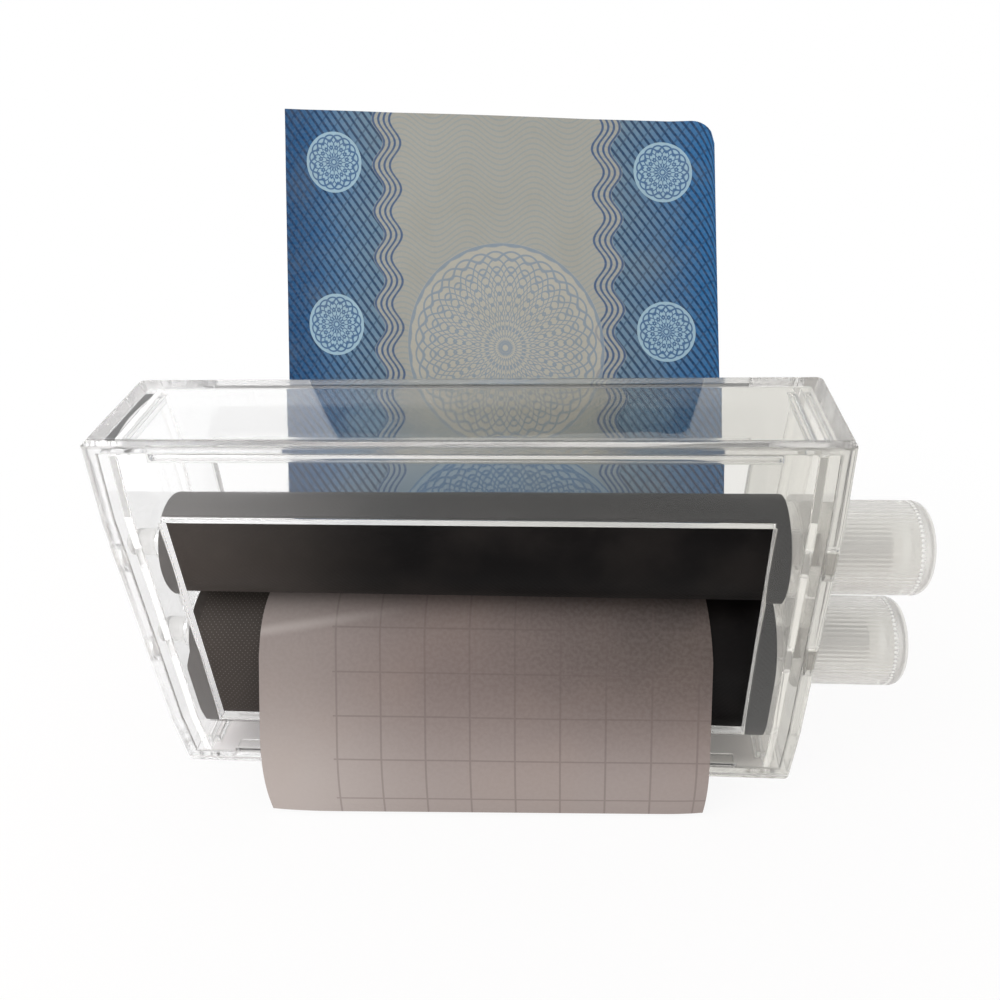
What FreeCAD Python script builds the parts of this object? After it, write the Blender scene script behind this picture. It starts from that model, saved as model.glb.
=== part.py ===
import FreeCAD, Part
import math
import os
import Sketcher
from FreeCAD import Vector

# Toy money printer: a clear case on its long edge, two cloth-wound rollers one above the other,
# a clear knob on the right end of each roller, a blank slip in front and a play note behind.
# X runs along the rollers towards the knobs, Y from front to back, Z up.
# The origin is the middle of the face that the case stands on. All sizes are in millimetres.

SIZES = [
    # Case
    ("wall", 1.8),
    ("facet_lean", 1.25),
    ("bottom_band", 11.8),
    ("top_band", 11.4),
    ("head_room", 12.7),
    ("window_margin", 8.95),
    ("corner_round", 1.0),
    ("tongue_depth", 2.0),
    ("tongue_thick", 0.8),
    ("tongue_gap", 0.1),
    ("rail_thick", 0.8),
    ("rail_rise", 1.4),
    ("rail_gap", 0.1),
    # Bearing plates
    ("plate_thick", 1.2),
    ("plate_gap", 0.12),
    ("end_gap", 0.6),
    ("bay", 1.45),
    ("rib_width", 3.0),
    ("rib_height", 8.0),
    ("rib_gap", 0.1),
    # Rollers
    ("core_radius", 6.9),
    ("core_wall", 1.2),
    ("plug_depth", 6.0),
    ("plug_gap", 0.05),
    ("flange_thick", 0.35),
    ("flange_gap", 0.45),
    ("journal_radius", 2.1),
    ("journal_reach", 3.7),
    ("shaft_radius", 2.4),
    ("shaft_reach", 10.5),
    ("shaft_chamfer", 0.4),
    ("running_gap", 0.06),
    ("wall_hole_gap", 0.35),
    # Cloth
    ("cloth_width", 91.4),
    ("cloth_thick", 0.25),
    ("upper_roll_radius", 8.2),
    ("lower_roll_radius", 8.85),
    ("tape_thick", 0.1),
    ("tape_gap", 0.04),
    ("tape_angle", 28.0),
    ("tape_length", 84.0),
    ("loop_gap", 0.3),
    ("loop_sag", 7.9),
    ("loop_floor_gap", 2.4),
    ("loop_side_gap", 0.3),
    ("loop_slit", 1.0),
    ("nip_gap", 0.6),
    # Knobs
    ("knob_radius", 6.95),
    ("knob_length", 14.8),
    ("knob_gap", 0.5),
    ("knob_wall", 1.3),
    ("knob_end", 2.2),
    ("knob_round", 1.8),
    ("boss_wall", 1.0),
    ("boss_inset", 1.2),
    ("socket_gap", 0.02),
    ("flute_count", 60),
    ("flute_radius", 0.5),
    ("flute_depth", 0.12),
    # Paper slip and play note
    ("slip_width", 70.0),
    ("slip_shift", 1.4),
    ("slip_angle", 27.5),
    ("slip_twist", 3.0),
    ("slip_run", 15.7),
    ("slip_bend_radius", 30.0),
    ("note_shift", 3.1),
    ("note_angle", 34.1),
    ("note_free_length", 69.1),
    ("note_skew", 2.25),
    ("sheet_thick", 0.12),
    ("sheet_gap", 0.1),
    ("note_gap", 0.3),
    ("slip_floor_gap", 0.4),
]

# Sizes that follow from the ones above.
DERIVED = [
    ("loop_radius", "=lower_roll_radius + loop_gap + cloth_thick"),
    ("half_depth", "=loop_radius + loop_side_gap + wall"),
    ("lower_axis", "=wall + loop_floor_gap + loop_radius + loop_sag"),
    ("upper_axis", "=lower_axis + loop_radius + nip_gap + upper_roll_radius"),
    ("case_height", "=upper_axis + upper_roll_radius + head_room + wall"),
    ("upper_crease", "=case_height - top_band"),
    ("plate_face", "=cloth_width / 2 + end_gap"),
    ("bay_face", "=plate_face + plate_thick"),
    ("side_face", "=bay_face + bay"),
    ("half_width", "=side_face + wall"),
    ("window_half", "=half_width - window_margin"),
    ("low_inset", "=facet_lean * (1 - wall / bottom_band)"),
    ("high_inset", "=facet_lean * (1 - wall / top_band)"),
    ("core_length", "=2 * (plate_face - flange_gap - flange_thick)"),
    ("plug_radius", "=core_radius - core_wall - plug_gap"),
    ("cloth_bore", "=core_radius + tape_thick + 2 * tape_gap"),
    ("socket_radius", "=shaft_radius + socket_gap"),
    ("boss_radius", "=socket_radius + boss_wall"),
]

ALIASES = {alias for alias, value in SIZES + DERIVED}
CURVE_TOLERANCE = 1e-3

doc = FreeCAD.newDocument("MoneyPrinter")
sheet = doc.addObject("Spreadsheet::Sheet", "Sizes")
for row, (alias, value) in enumerate(SIZES + DERIVED, start=1):
    sheet.set(f"A{row}", alias)
    sheet.set(f"B{row}", str(value))
    sheet.setAlias(f"B{row}", alias)
doc.recompute()


def size(name):
    """The present value of one size, as a plain number."""
    return float(sheet.get(name))


def formula(text):
    """Point the size names in a formula at the sheet."""
    words = []
    word = ""
    for letter in text + " ":
        if letter.isalnum() or letter == "_":
            word += letter
            continue
        words.append(f"Sizes.{word}" if word in ALIASES else word)
        words.append(letter)
        word = ""
    return "".join(words).strip()


def value_of(text):
    """The number that a formula gives now."""
    result = sheet.evalExpression(formula(text))
    return float(getattr(result, "Value", result))


def bind(target, prop, text):
    target.setExpression(prop, formula(text))


def new_body(label, x="0", z="0"):
    body = doc.addObject("PartDesign::Body", label)
    body.Label = label
    bind(body, "Placement.Base.x", x)
    bind(body, "Placement.Base.z", z)
    return body


def new_sketch(body, role, name, offset="0"):
    """A sketch on one of the body's origin planes, moved along the plane's normal."""
    plane = [item for item in body.Origin.OriginFeatures if item.Role == role][0]
    sketch = body.newObject("Sketcher::SketchObject", name)
    sketch.AttachmentSupport = [(plane, "")]
    sketch.MapMode = "FlatFace"
    bind(sketch, "AttachmentOffset.Base.z", offset)
    return sketch


def pin_point(sketch, geometry, end, x, y):
    """Hold one point of a sketch at the place that two formulas give."""
    for kind, text in (("DistanceX", x), ("DistanceY", y)):
        rule = Sketcher.Constraint(kind, -1, 1, geometry, end, value_of(text))
        bind(sketch, f"Constraints[{sketch.addConstraint(rule)}]", text)


def polygon(sketch, corners):
    """A closed outline of straight lines through corners given as pairs of formulas."""
    points = [Vector(value_of(x), value_of(y), 0) for x, y in corners]
    first = sketch.GeometryCount
    count = len(points)
    for i in range(count):
        sketch.addGeometry(Part.LineSegment(points[i], points[(i + 1) % count]), False)
    for i in range(count):
        after = first + (i + 1) % count
        sketch.addConstraint(Sketcher.Constraint("Coincident", first + i, 2, after, 1))
    for i, (x, y) in enumerate(corners):
        pin_point(sketch, first + i, 1, x, y)


def rectangle(sketch, x_low, x_high, y_low, y_high):
    polygon(sketch, [(x_low, y_low), (x_high, y_low), (x_high, y_high), (x_low, y_high)])


def circle(sketch, radius, y="0", z="0"):
    middle = Vector(value_of(y), value_of(z), 0)
    index = sketch.addGeometry(Part.Circle(middle, Vector(0, 0, 1), value_of(radius)), False)
    pin_point(sketch, index, 3, y, z)
    rule = Sketcher.Constraint("Radius", index, value_of(radius))
    bind(sketch, f"Constraints[{sketch.addConstraint(rule)}]", radius)


def add_feature(body, kind, name, sketch, length=None, back=False):
    """Pad or pocket a sketch by a length that a formula gives."""
    feature = body.newObject(f"PartDesign::{kind}", name)
    feature.Profile = sketch
    feature.Reversed = back
    if length:
        bind(feature, "Length", length)
    return feature


def turn_about_x(body, name, corners):
    """A turned piece: the outline's first number runs along X, the second is the radius."""
    sketch = new_sketch(body, "XY_Plane", name + "Outline")
    polygon(sketch, corners)
    turning = add_feature(body, "Revolution", name, sketch)
    turning.ReferenceAxis = (sketch, ["H_Axis"])
    turning.Angle = 360
    return turning


def round_edges(body, base, name, radius, wanted):
    """Round the edges of a feature whose middle passes a test."""
    doc.recompute()
    names = []
    for number, edge in enumerate(base.Shape.Edges, start=1):
        if wanted(edge):
            names.append(f"Edge{number}")
    fillet = body.newObject("PartDesign::Fillet", name)
    fillet.Base = (base, names)
    bind(fillet, "Radius", radius)
    return fillet


def runs_up_at_end(edge, side):
    """An edge in one end plane of the case that runs up the front or the back."""
    box = edge.BoundBox
    across = box.XLength < CURVE_TOLERANCE
    at_end = across and abs(abs(box.XMin) - size("half_width")) < CURVE_TOLERANCE
    outermost = size("half_depth") - size("facet_lean") - CURVE_TOLERANCE
    return at_end and box.ZLength > size("wall") * 2 and side * box.Center.y > outermost


def window(body, name, start, depth):
    """The window, from crease to crease. The cut runs back from the start, towards +Y."""
    sketch = new_sketch(body, "XZ_Plane", name + "Outline", start)
    rectangle(sketch, "-window_half", "window_half", "bottom_band", "upper_crease")
    return add_feature(body, "Pocket", name, sketch, depth)


def rear_case():
    """Floor, roof, both ends and the back wall with its window; the front is open."""
    body = new_body("rear_case")
    outline = new_sketch(body, "YZ_Plane", "CaseOutline", "-half_width")
    polygon(outline, [
        ("-half_depth + wall + facet_lean", "0"),
        ("half_depth - facet_lean", "0"),
        ("half_depth", "bottom_band"),
        ("half_depth", "upper_crease"),
        ("half_depth - facet_lean", "case_height"),
        ("-half_depth + wall + facet_lean", "case_height"),
        ("-half_depth + wall", "upper_crease"),
        ("-half_depth + wall", "bottom_band"),
    ])
    block = add_feature(body, "Pad", "CaseBlock", outline, "2 * half_width")
    block = round_edges(body, block, "CaseRound", "corner_round", lambda edge: runs_up_at_end(edge, 1))

    hollow = new_sketch(body, "YZ_Plane", "HollowOutline", "side_face")
    polygon(hollow, [
        ("-half_depth", "wall"),
        ("half_depth - wall - low_inset", "wall"),
        ("half_depth - wall", "bottom_band"),
        ("half_depth - wall", "upper_crease"),
        ("half_depth - wall - high_inset", "case_height - wall"),
        ("-half_depth", "case_height - wall"),
    ])
    add_feature(body, "Pocket", "Hollow", hollow, "2 * side_face")
    window(body, "RearWindow", "0", "half_depth + wall")

    for name, radius, start in (
        ("ShaftHoles", "shaft_radius", "half_width + wall"),
        ("JournalHoles", "journal_radius", "-side_face + wall"),
    ):
        holes = new_sketch(body, "YZ_Plane", name + "Outline", start)
        circle(holes, f"{radius} + wall_hole_gap", "0", "upper_axis")
        circle(holes, f"{radius} + wall_hole_gap", "0", "lower_axis")
        add_feature(body, "Pocket", name, holes, "3 * wall")

    # Low rails on the floor and the roof hold each bearing plate on both sides.
    rail_depth = "half_depth - wall - facet_lean - tongue_depth"
    for side in (-1, 1):
        for name, start in (
            ("Inner", "plate_face - rail_gap - rail_thick"),
            ("Outer", "bay_face + rail_gap"),
        ):
            label = f"{name}Rail{'Left' if side < 0 else 'Right'}"
            rails = new_sketch(body, "YZ_Plane", label + "Outline", f"{side} * ({start})")
            rectangle(rails, f"-({rail_depth})", rail_depth, "wall / 2", "wall + rail_rise")
            top = ("case_height - wall - rail_rise", "case_height - wall / 2")
            rectangle(rails, f"-({rail_depth})", rail_depth, *top)
            add_feature(body, "Pad", label, rails, "rail_thick", side < 0)
    return body


def front_cover():
    """The front wall with its window, and a tongue above and below that slips into the case."""
    body = new_body("front_cover")
    outline = new_sketch(body, "YZ_Plane", "CoverOutline", "-half_width")
    polygon(outline, [
        ("-half_depth + facet_lean", "0"),
        ("-half_depth + facet_lean + wall", "0"),
        ("-half_depth + wall", "bottom_band"),
        ("-half_depth + wall", "upper_crease"),
        ("-half_depth + facet_lean + wall", "case_height"),
        ("-half_depth + facet_lean", "case_height"),
        ("-half_depth", "upper_crease"),
        ("-half_depth", "bottom_band"),
    ])
    block = add_feature(body, "Pad", "CoverBlock", outline, "2 * half_width")
    round_edges(body, block, "CoverRound", "corner_round", lambda edge: runs_up_at_end(edge, -1))
    window(body, "FrontWindow", "half_depth + wall", "3 * wall")

    root = "-half_depth + wall / 2 + facet_lean"
    tip = "-half_depth + wall + facet_lean + tongue_depth"
    tongues = new_sketch(body, "YZ_Plane", "TonguesOutline", "-window_half")
    low = "wall + tongue_gap"
    high = "case_height - wall - tongue_gap"
    rectangle(tongues, root, tip, low, f"{low} + tongue_thick")
    rectangle(tongues, root, tip, f"{high} - tongue_thick", high)
    add_feature(body, "Pad", "Tongues", tongues, "2 * window_half")
    return body


def bearing_plate(label, side, hole_radius):
    """A plate across one end of the case with a hole for each roller, and a rib that spaces it off."""
    body = new_body(label, x=f"{side} * plate_face")
    outline = new_sketch(body, "YZ_Plane", "PlateOutline")
    middle = "(half_depth - wall - plate_gap)"
    low = "(half_depth - wall - low_inset - plate_gap)"
    high = "(half_depth - wall - high_inset - plate_gap)"
    floor = "wall + plate_gap"
    roof = "case_height - wall - plate_gap"
    polygon(outline, [
        (f"-{low}", floor), (low, floor), (middle, "bottom_band"), (middle, "upper_crease"),
        (high, roof), (f"-{high}", roof), (f"-{middle}", "upper_crease"), (f"-{middle}", "bottom_band"),
    ])
    circle(outline, hole_radius, "0", "upper_axis")
    circle(outline, hole_radius, "0", "lower_axis")
    add_feature(body, "Pad", "Plate", outline, "plate_thick", side < 0)

    rib = new_sketch(body, "YZ_Plane", "RibOutline", f"{side} * plate_thick / 2")
    centre = "(upper_axis + lower_axis) / 2"
    rise = "rib_height / 2"
    rectangle(rib, "-rib_width / 2", "rib_width / 2", f"{centre} - {rise}", f"{centre} + {rise}")
    add_feature(body, "Pad", "Rib", rib, "plate_thick / 2 + bay - rib_gap", side < 0)
    return body


def core_tube(label, axis):
    """The stiff tube inside a roll."""
    body = new_body(label, z=axis)
    ring = new_sketch(body, "YZ_Plane", "TubeRing", "-core_length / 2")
    circle(ring, "core_radius")
    circle(ring, "core_radius - core_wall")
    add_feature(body, "Pad", "Tube", ring, "core_length")
    return body


def end_plug(label, axis, side, radius, tip):
    """A plug pressed into one end of a tube, with a flange and the pin that turns in the plate."""
    body = new_body(label, z=axis)
    along = [
        ("core_length / 2 - plug_depth", "0"),
        ("core_length / 2 - plug_depth", "plug_radius"),
        ("core_length / 2", "plug_radius"),
        ("core_length / 2", "core_radius"),
        ("core_length / 2 + flange_thick", "core_radius"),
        ("core_length / 2 + flange_thick", radius),
        (f"{tip} - shaft_chamfer", radius),
        (tip, f"{radius} - shaft_chamfer"),
        (tip, "0"),
    ]
    turn_about_x(body, "Plug", [(f"{side} * ({x})", r) for x, r in along])
    return body


def cloth_roll(label, axis, radius):
    """The cloth wound tight on a tube."""
    body = new_body(label, z=axis)
    ring = new_sketch(body, "YZ_Plane", "RollRing", "-cloth_width / 2")
    circle(ring, radius)
    circle(ring, "cloth_bore")
    add_feature(body, "Pad", "Roll", ring, "cloth_width")
    return body


def cloth_tape(label, axis):
    """The strip of tape that holds the cloth's end to the tube."""
    body = new_body(label, z=axis)
    strip = new_sketch(body, "XY_Plane", "StripOutline")
    rectangle(strip, "-tape_length / 2", "tape_length / 2", "core_radius + tape_gap",
              "core_radius + tape_gap + tape_thick")
    turning = add_feature(body, "Revolution", "Strip", strip)
    turning.ReferenceAxis = (strip, ["H_Axis"])
    bind(turning, "Angle", "tape_angle")
    return body


def knob(label, axis):
    """A clear cup with fine flutes, a round outer end and a boss that grips the shaft."""
    body = new_body(label, x="half_width + knob_gap", z=axis)
    socket_end = "shaft_reach - knob_gap + socket_gap"
    inner = "knob_length - knob_end"
    cup = turn_about_x(body, "Cup", [
        ("0", "knob_radius - knob_wall"),
        ("0", "knob_radius"),
        ("knob_length", "knob_radius"),
        ("knob_length", "0"),
        (socket_end, "0"),
        (socket_end, "socket_radius"),
        ("boss_inset", "socket_radius"),
        ("boss_inset", "boss_radius"),
        (inner, "boss_radius"),
        (inner, "knob_radius - knob_wall"),
    ])

    def outer_rim(edge):
        at_end = edge.BoundBox.XMin > size("knob_length") - CURVE_TOLERANCE
        return at_end and edge.Length > size("knob_radius")

    round_edges(body, cup, "CupRound", "knob_round", outer_rim)
    flute = new_sketch(body, "YZ_Plane", "FluteOutline", "-flute_radius")
    circle(flute, "flute_radius", "0", "knob_radius + flute_radius - flute_depth")
    cut = add_feature(body, "Pocket", "Flute", flute, "knob_length - knob_round + flute_radius", True)
    ring = body.newObject("PartDesign::PolarPattern", "Flutes")
    ring.Originals = [cut]
    ring.Axis = ([item for item in body.Origin.OriginFeatures if item.Role == "X_Axis"][0], [""])
    ring.Angle = 360
    bind(ring, "Occurrences", "flute_count")
    body.Tip = ring
    return body


def on_circle(middle_z, radius, angle):
    """A point of the YZ plane on a circle round a roller's axis, the angle measured from +Y."""
    turn = math.radians(angle)
    return Vector(0, radius * math.cos(turn), middle_z + radius * math.sin(turn))


def arc(middle_z, radius, start, end):
    points = [on_circle(middle_z, radius, angle) for angle in (start, (start + end) / 2, end)]
    return Part.Arc(*points).toShape()


def closed_outline(inner, outer):
    """Join two lines of edges, which run the same way, with a straight edge at each end."""
    starts = [line[0].firstVertex(True).Point for line in (inner, outer)]
    ends = [line[-1].lastVertex(True).Point for line in (inner, outer)]
    caps = [Part.LineSegment(*starts).toShape(), Part.LineSegment(*ends).toShape()]
    return Part.Wire(Part.__sortEdges__(inner + outer + caps))


def soft_piece(label, shape):
    piece = doc.addObject("Part::Feature", label)
    piece.Label = label
    piece.Shape = shape
    return piece


def sheet_between(label, left, right, shift):
    """A sheet whose left and right edges follow two outlines of the YZ plane."""
    half = size("slip_width") / 2
    left.translate(Vector(shift - half, 0, 0))
    right.translate(Vector(shift + half, 0, 0))
    return soft_piece(label, Part.makeLoft([left, right], True, True))


def slip_edge(angle):
    """One side of the slip: over the lower roll, straight down and forward, then bent to the table."""
    middle = size("lower_axis")
    near = size("loop_radius") + size("sheet_gap")
    lean = math.radians(angle)
    down = Vector(0, -math.sin(lean), -math.cos(lean))
    outwards = Vector(0, -math.cos(lean), math.sin(lean))
    run = down * size("slip_run")
    bend = size("slip_bend_radius")
    lines = []
    for radius in (near, near + size("sheet_thick")):
        start = 90 + math.degrees(size("loop_slit") / near)
        corner = on_circle(middle, radius, 180 - angle)
        bend_middle = on_circle(middle, near, 180 - angle) + run - outwards * bend
        reach = bend + radius - near
        low = math.asin((size("slip_floor_gap") - bend_middle.z) / reach)
        points = [bend_middle + Vector(0, -math.cos(turn), math.sin(turn)) * reach
                  for turn in (lean, (lean + low) / 2, low)]
        lines.append([
            arc(middle, radius, start, 180 - angle),
            Part.LineSegment(corner, points[0]).toShape(),
            Part.Arc(*points).toShape(),
        ])
    return closed_outline(*lines)


def blank_slip():
    """The slip fed into the front of the nip. It lies a little askew, so its left side leans further."""
    angle = size("slip_angle")
    twist = size("slip_twist")
    return sheet_between("blank_slip", slip_edge(angle + twist), slip_edge(angle - twist), size("slip_shift"))


def note_edge(free_length):
    """One side of the note: round the back of the upper roll, then straight up and back."""
    middle = size("upper_axis")
    angle = size("note_angle")
    lean = math.radians(angle)
    run = Vector(0, math.sin(lean), math.cos(lean)) * free_length
    near = size("upper_roll_radius") + size("note_gap") - size("sheet_thick") / 2
    lines = []
    for radius in (near, near + size("sheet_thick")):
        start = -90 + math.degrees(size("loop_slit") / near)
        corner = on_circle(middle, radius, -angle)
        lines.append([arc(middle, radius, start, -angle), Part.LineSegment(corner, corner + run).toShape()])
    return closed_outline(*lines)


def play_note():
    """The note that comes out behind. More of it is out on the left than on the right."""
    length = size("note_free_length")
    skew = size("note_skew")
    return sheet_between("play_note", note_edge(length + skew), note_edge(length - skew), size("note_shift"))


def cloth_loop():
    """The cloth's slack turn: from the nip round the back of the lower roll, and hanging below it."""
    thick = size("cloth_thick")
    outer = size("loop_radius")
    top = size("lower_axis")
    low = top - size("loop_sag")
    half_slit = math.degrees(size("loop_slit") / 2 / outer)
    edges = []
    for radius in (outer, outer - thick):
        edges.append(arc(top, radius, 0, 90 - half_slit))
        edges.append(arc(top, radius, 90 + half_slit, 180))
        edges.append(arc(low, radius, 180, 360))
        for y in (-radius, radius):
            edges.append(Part.LineSegment(Vector(0, y, low), Vector(0, y, top)).toShape())
    for angle in (90 - half_slit, 90 + half_slit):
        ends = [on_circle(top, radius, angle) for radius in (outer - thick, outer)]
        edges.append(Part.LineSegment(*ends).toShape())
    face = Part.Face(Part.Wire(Part.__sortEdges__(edges)))
    face.translate(Vector(-size("cloth_width") / 2, 0, 0))
    return soft_piece("cloth_loop", face.extrude(Vector(size("cloth_width"), 0, 0)))


journal_tip = "half_width + journal_reach"
shaft_tip = "half_width + shaft_reach"
pieces = [
    rear_case(),
    front_cover(),
    bearing_plate("left_bearing_plate", -1, "journal_radius + running_gap"),
    bearing_plate("right_bearing_plate", 1, "shaft_radius + running_gap"),
    cloth_loop(),
    blank_slip(),
    play_note(),
]
for place in ("upper", "lower"):
    height = f"{place}_axis"
    pieces += [
        core_tube(f"{place}_core_tube", height),
        end_plug(f"{place}_journal", height, -1, "journal_radius", journal_tip),
        end_plug(f"{place}_drive_shaft", height, 1, "shaft_radius", shaft_tip),
        cloth_tape(f"{place}_cloth_tape", height),
        cloth_roll(f"{place}_cloth_roll", height, f"{place}_roll_radius"),
        knob(f"{place}_knob", height),
    ]
doc.recompute()

for item in doc.Objects:
    if "Invalid" in item.State or "Error" in item.State:
        raise RuntimeError(f"{item.Label} did not build: {item.State}")
for piece in pieces:
    if piece.Shape.isNull() or not piece.Shape.isValid() or len(piece.Shape.Solids) != 1:
        raise RuntimeError(f"{piece.Label} is not one valid solid")

os.makedirs("parts", exist_ok=True)
for piece in pieces:
    piece.Shape.exportStep(f"parts/{piece.Label}.step")
    box = piece.Shape.BoundBox
    print(f"{piece.Label}: {piece.Shape.Volume:.1f} mm3, x {box.XMin:.2f} to {box.XMax:.2f}, "
          f"y {box.YMin:.2f} to {box.YMax:.2f}, z {box.ZMin:.2f} to {box.ZMax:.2f}")
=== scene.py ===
import bpy
import math
from mathutils import Matrix, Vector, noise


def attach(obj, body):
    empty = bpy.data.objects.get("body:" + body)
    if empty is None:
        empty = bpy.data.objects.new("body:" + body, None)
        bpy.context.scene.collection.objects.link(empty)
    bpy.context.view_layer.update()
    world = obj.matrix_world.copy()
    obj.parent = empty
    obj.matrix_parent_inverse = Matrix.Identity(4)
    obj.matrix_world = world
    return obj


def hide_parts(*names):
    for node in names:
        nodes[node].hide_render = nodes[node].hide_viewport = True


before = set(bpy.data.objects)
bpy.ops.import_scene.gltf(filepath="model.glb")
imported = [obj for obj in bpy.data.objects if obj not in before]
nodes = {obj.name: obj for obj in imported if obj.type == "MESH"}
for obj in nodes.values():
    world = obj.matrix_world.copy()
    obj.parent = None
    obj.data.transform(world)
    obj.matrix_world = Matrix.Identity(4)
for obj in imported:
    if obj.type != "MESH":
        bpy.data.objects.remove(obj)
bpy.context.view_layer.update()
cycles = bpy.context.scene.cycles
cycles.max_bounces = 48  # many clear walls lie one behind the other
cycles.transmission_bounces = 48
cycles.glossy_bounces = 40
cycles.transparent_max_bounces = 40
mm = 0.001
print("frame loaded:", len(nodes), "nodes")


shot = {
    "place": (0.01557, -0.10677, 0.11878),
    "looksAt": (0.00457, 0, 0.04757),
    "rollDegrees": -2.85,
    "lens": 31.5,
}


def placeCamera():
    data = bpy.data.cameras.new("camera")
    data.lens = shot["lens"]
    data.sensor_width = 36
    data.clip_start = 0.001
    camera = addObject("camera", data)
    place = Vector(shot["place"])
    turn = (Vector(shot["looksAt"]) - place).to_track_quat("-Z", "Y").to_matrix().to_4x4()
    roll = Matrix.Rotation(math.radians(shot["rollDegrees"]), 4, "Z")
    camera.matrix_world = Matrix.Translation(place) @ turn @ roll
    bpy.context.scene.camera = camera


def colourOf(code):
    # #rrggbb as a linear colour
    parts = [int(code[i:i + 2], 16) / 255 for i in (1, 3, 5)]
    return tuple(p / 12.92 if p <= 0.04045 else ((p + 0.055) / 1.055) ** 2.4 for p in parts) + (1.0,)


def feed(tree, socket, value):
    if isinstance(value, bpy.types.NodeSocket):
        tree.links.new(value, socket)
    else:
        socket.default_value = value


def addNode(tree, kind, inputs=None, **settings):
    node = tree.nodes.new(kind)
    for name, value in settings.items():
        setattr(node, name, value)
    for name, value in (inputs or {}).items():
        feed(tree, node.inputs[name], value)
    return node


def calc(tree, operation, *values, clamp=False):
    node = addNode(tree, "ShaderNodeMath", operation=operation, use_clamp=clamp)
    for socket, value in zip(node.inputs, values):
        feed(tree, socket, value)
    return node.outputs[0]


def mixColour(tree, share, first, second):
    node = addNode(tree, "ShaderNodeMix", data_type="RGBA")
    for index, value in ((0, share), (6, first), (7, second)):
        feed(tree, node.inputs[index], value)
    return node.outputs[2]


def ramp(tree, value, low, high, toLow=0.0, toHigh=1.0):
    node = addNode(tree, "ShaderNodeMapRange", interpolation_type="SMOOTHSTEP")
    for name, number in (("Value", value), ("From Min", low), ("From Max", high),
                         ("To Min", toLow), ("To Max", toHigh)):
        feed(tree, node.inputs[name], number)
    return node.outputs[0]


def times(tree, first, second):
    return calc(tree, "MULTIPLY", first, second)


def split(tree, vector):
    return addNode(tree, "ShaderNodeSeparateXYZ", {"Vector": vector}).outputs


def noiseOf(tree, place, scale, detail):
    node = addNode(tree, "ShaderNodeTexNoise", {"Vector": place, "Scale": scale, "Detail": detail})
    return node.outputs["Fac"]


def lay(tree, tone, share, code, amount=None):
    # A colour code laid over a tone by a share, scaled by the amount if there is one
    if amount is not None:
        share = times(tree, share, amount)
    return mixColour(tree, share, tone, colourOf(code))


def ruled(tree, along, pitch, line, softness):
    # 1 on lines of a width, a pitch apart, with soft sides
    share = calc(tree, "FRACT", calc(tree, "DIVIDE", along, pitch))
    away = times(tree, calc(tree, "ABSOLUTE", calc(tree, "SUBTRACT", share, 0.5)), pitch)
    half = times(tree, line, 0.5)
    return ramp(tree, away, times(tree, half, 1 - softness), times(tree, half, 1 + softness), 1.0, 0.0)


def newMaterial(name, **plain):
    # A material with its Principled shader, whose plain values are set on the sockets
    material = bpy.data.materials.new(name)
    material.use_nodes = True
    tree = material.node_tree
    shader = tree.nodes["Principled BSDF"]
    for key, value in plain.items():
        shader.inputs[key.replace("_", " ")].default_value = value
    return material, tree, shader


def newGroup(name, takes, gives):
    # An empty node group with its inputs and outputs made
    group = bpy.data.node_groups.new(name, "ShaderNodeTree")
    for label, kind, start in takes:
        socket = group.interface.new_socket(label, in_out="INPUT", socket_type=kind)
        if start is not None:
            socket.default_value = start
    for label in gives:
        group.interface.new_socket(label, in_out="OUTPUT", socket_type="NodeSocketFloat")
    return group, group.nodes.new("NodeGroupInput").outputs, group.nodes.new("NodeGroupOutput").inputs


def useGroup(tree, group, **values):
    node = addNode(tree, "ShaderNodeGroup", node_tree=group)
    for name, value in values.items():
        feed(tree, node.inputs[name], value)
    return node.outputs


def laidFlat(tree, width, length):
    # The UV map's two shares, and the place on the flat sheet in millimetres
    uv = addNode(tree, "ShaderNodeUVMap").outputs[0]
    spread = addNode(tree, "ShaderNodeVectorMath", {0: uv, 1: (width, length, 1)}, operation="MULTIPLY")
    return split(tree, uv), spread.outputs[0]


def bumpFrom(tree, height, strength, distance):
    node = addNode(tree, "ShaderNodeBump", {"Height": height, "Strength": strength, "Distance": distance})
    return node.outputs["Normal"]


def mixShaders(tree, share, first, second):
    blend = addNode(tree, "ShaderNodeMixShader")
    for socket, value in zip(blend.inputs, (share, first.outputs[0], second.outputs[0])):
        feed(tree, socket, value)
    feed(tree, tree.nodes["Material Output"].inputs["Surface"], blend.outputs[0])


def addObject(name, data):
    piece = bpy.data.objects.new(name, data)
    bpy.context.scene.collection.objects.link(piece)
    return piece


def selectOnly(*pieces):
    bpy.ops.object.select_all(action="DESELECT")
    for piece in pieces:
        piece.select_set(True)
    bpy.context.view_layer.objects.active = pieces[0]


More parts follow.
